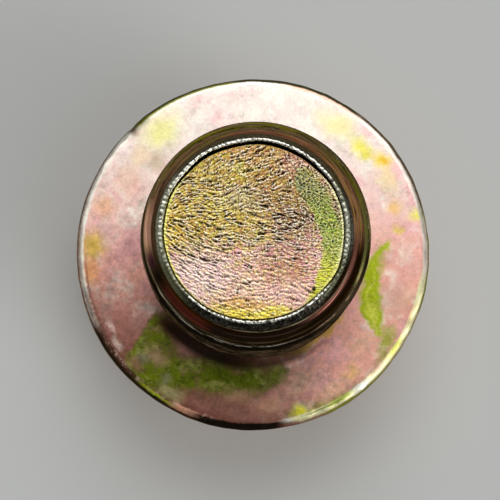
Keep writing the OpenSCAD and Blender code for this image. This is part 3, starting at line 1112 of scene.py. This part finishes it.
# %% The bright edge of the face, and three pits
lip_ring = polar(wander(LIP_SHIFT, 0.1, 0.2, 11.0))
EDGE_BANDS = [
    (120, 340, 5.24, 6.0, (255, 250, 140), 0.9, (12.0, 0.04)),
    (-20, 40, 5.24, 6.0, (255, 250, 190), 0.9, (10.0, 0.04)),
]
tip = bands(tip, lip_ring, EDGE_BANDS)
PITS = [
    # x, y, radius
    (3.54, -3.41, 0.13),
    (2.18, -4.6, 0.08),
    (3.5, -2.95, 0.05),
]
# the pits are painted near-black: painted shade in them
for pit_x, pit_y, pit_r in PITS:
    tip = oval(tip, place, (pit_x + LIP_SHIFT, pit_y), (pit_r, pit_r), SOOT, 0.95, 0.3)
print("pits:", len(PITS))

# %% [markdown]
# ## Film on the lip
# The lip stands highest, so it was rubbed bare first, and dirt stays beside the bare spots. It is
# bright at the back. In front and outside at the left it is painted dark, as painted shade, where only
# flecks of metal show, and the gap behind it is painted black, as painted shade.

# %% Film on the lip
flecks = cloud(place, 0.2, 3.0, 0.7, 12.0)
worn_and_shaded_lip = blended(fade(flecks, 0.4, 0.5), (52, 48, 36), (238, 238, 226))
# painted shade for the lip in front and outside at the left, with flecks of metal
shaded_lip = blended(fade(flecks, 0.57, 0.66), SOOT, (112, 110, 88))
breaks = cloud(place, 0.45, 4.0, 0.7, 32.0)
# the worn lip painted darker towards the front, as painted shade
worn_and_shaded_lip = blended(fade(breaks, 0.5, 0.42) * fade(y, 1.0, -3.0) * 0.85, worn_and_shaded_lip, (60, 56, 42))
LIP_BANDS = [
    (20, 150, 5.59, 6.2, (84, 70, 42), 0.95, (10.0, 0.03)),
    (-165, -15, 5.5, 6.2, shaded_lip, 0.96, (10.0, 0.04)),
    (150, 195, 5.84, 6.2, shaded_lip, 0.9, (10.0, 0.04)),
    (148, 222, 5.3, 5.9, (126, 128, 96), 0.6, (12.0, 0.04)),
    (-40, 30, 5.4, 5.8, (130, 132, 104), 0.6, (12.0, 0.03)),
    (-40, 30, 5.72, 6.2, SOOT, 0.8, (8.0, 0.03)),
]
rolled = bands(worn_and_shaded_lip, lip_ring, LIP_BANDS)
# painted shade: the gap behind the lip, black
gap_shade = fade(z, TIP_Z - 0.1, TIP_Z - 0.2) * fade(lip_ring[1], 5.52, 5.46)
rolled = blended(gap_shade, rolled, SOOT)
print("bands on the lip:", len(LIP_BANDS))

# %% [markdown]
# ## Zones and shine
# Each zone's film is a colour that could cover the whole plug. Masks by height and radius lay the seat
# over the hidden sides, the shank over the seat, then the lip and the face. A fine grain goes over
# all of it, in the colour and as a slight bump, and noise changes how rough the metal is.

# %% Put the zones together
on_face = fade(Signal.node("Attribute", {"attribute_name": "on_face"}, output="Fac"), 0.4, 0.6)
off_head = fade(z, SEAT_Z - 1.8, SEAT_Z - 0.8) * fade(radius, FLAT_R - 0.5, FLAT_R + 0.1)
paint = blended(off_head, paint, seat)
paint = blended(fade(z, SEAT_Z - 0.7, SEAT_Z - 0.4), paint, seat)
paint = blended(fade(z, SEAT_Z + 0.02, SEAT_Z + 0.2), paint, shank)
above_lead = fade(z, LEAD_TOP_Z - 0.05, LEAD_TOP_Z + 0.02)
on_lip = Signal.math("MAXIMUM", above_lead, fade(lip_ring[1], 5.8, 5.75))
paint = blended(on_lip * fade(z, LEAD_LOW_Z - 0.5, LEAD_LOW_Z + 0.5), paint, rolled)
paint = blended(on_face, paint, tip)
print("nodes up to the zones:", len(Signal.tree.nodes))

# %% Grain
grain = cloud(place, 0.12, 2.0, 0.6, 13.0)
paint = scaled(paint, 0.8 + grain * 0.4)
Signal.tree.links.new(paint.socket, zinc.inputs["Base Color"])
rough = 0.3 + cloud(place, 0.6, 3.0, 0.6, 14.0) * 0.2
rough = rough - fade(z, SEAT_Z + 0.1, SEAT_Z + 0.6) * (1 - on_face) * 0.15  # the shank is smooth
Signal.tree.links.new(rough.socket, zinc.inputs["Roughness"])
relief_bump = Signal.node("Bump", {}, {"Strength": 0.25, "Distance": 0.00002, "Height": grain})
Signal.tree.links.new(relief_bump.socket, zinc.inputs["Normal"])
print("nodes in the film:", len(film.node_tree.nodes))

# %% [markdown]
# ## The studio
# A metal has no look of its own: it shows what is round it. So the light here is the world itself, a
# dim room with three windows, bright spots with soft edges, and each is only a direction, two angles
# and a strength. The high window behind the plug lights the seat and throws the shadow to the front.
# The other two are at the right in front, and the lower one draws the bright lines on the thread and
# the rim. The floor is pale paper. Where it ends, the camera and mirrored rays see a backdrop that is
# as bright.

# %% Floor
FLOOR_REACH = 3.0  # metres to each side
FLOOR_DROP = 2e-5  # a hair below the head, so that the two don't share a plane
corners = [(-1, -1), (1, -1), (1, 1), (-1, 1)]
floor_places = [(FLOOR_REACH * u, FLOOR_REACH * v, -FLOOR_DROP) for u, v in corners]
floor_mesh = bpy.data.meshes.new("floor")
floor_mesh.from_pydata(floor_places, [], [(0, 1, 2, 3)])
floor = bpy.data.objects.new("floor", floor_mesh)
bpy.context.scene.collection.objects.link(floor)
paper = bpy.data.materials.new("floor_grey")
paper.use_nodes = True
paper_shader = paper.node_tree.nodes["Principled BSDF"]
paper_shader.inputs["Base Color"].default_value = (0.705, 0.722, 0.706, 1)
paper_shader.inputs["Roughness"].default_value = 0.9
paper_shader.inputs["Specular IOR Level"].default_value = 0.1
floor_mesh.materials.append(paper)
print("floor:", 2 * FLOOR_REACH, "m wide")

# %% A room of soft light
world = bpy.data.worlds.new("studio")
bpy.context.scene.world = world
world.use_nodes = True
Signal.tree = world.node_tree
sky = world.node_tree.nodes["Background"]
sky.inputs["Color"].default_value = (1, 1, 1, 1)
ROOM = 0.25
BACKDROP = 0.462  # what the lit floor comes to
WINDOWS = [
    # azimuth, elevation, the angles in degrees where it starts and ends to fade, strength
    (82, 61, 6, 28, 2.4),
    (-38, 52, 5, 26, 1.0),
    (-32, 24, 4, 20, 3.2),
]
towards = Signal.node("TexCoord", output="Generated")
light = ROOM
for azimuth, elevation, inner, outer, strength in WINDOWS:
    turned_by, raised_by = math.radians(azimuth), math.radians(elevation)
    level_part = math.cos(raised_by)
    aim = (level_part * math.cos(turned_by), level_part * math.sin(turned_by), math.sin(raised_by))
    facing = Signal.vector("DOT_PRODUCT", towards, aim, output="Value")
    edges = [math.cos(math.radians(angle_off)) for angle_off in (outer, inner)]
    light = fade(facing, *edges) * strength + light
print("windows:", len(WINDOWS))

# %% The backdrop, and the world's light
by_camera, by_gloss, by_glass = [
    Signal.node("LightPath", output="Is %s Ray" % kind) for kind in ("Camera", "Glossy", "Transmission")
]
_, _, upward = split(towards)
mirrored = Signal.math("MAXIMUM", by_gloss, by_glass) * fade(upward, 0.2, 0.05)
light = light + (BACKDROP - light) * Signal.math("MAXIMUM", by_camera, mirrored)
world.node_tree.links.new(light.socket, sky.inputs["Strength"])
print("room:", ROOM, "backdrop:", BACKDROP)

# %% [markdown]
# ## The camera
# The photograph was taken from nearly straight above, a little to the front. Its place and tilt were
# found by fitting the outlines of the tip, the thread and the flange, which lie at three heights.

# %% Camera
camera = bpy.data.cameras.new("camera")
camera.lens = 147.5
camera.sensor_width = 36
camera.clip_start = 0.01
eye = bpy.data.objects.new("camera", camera)
eye.location = (-0.00183, -0.01405, 0.14349)
eye.rotation_euler = (0.1068, -0.0121, 0)
bpy.context.scene.collection.objects.link(eye)
bpy.context.scene.camera = eye
bpy.context.scene.view_settings.view_transform = "Standard"
print("field of view in degrees:", round(math.degrees(camera.angle), 2))
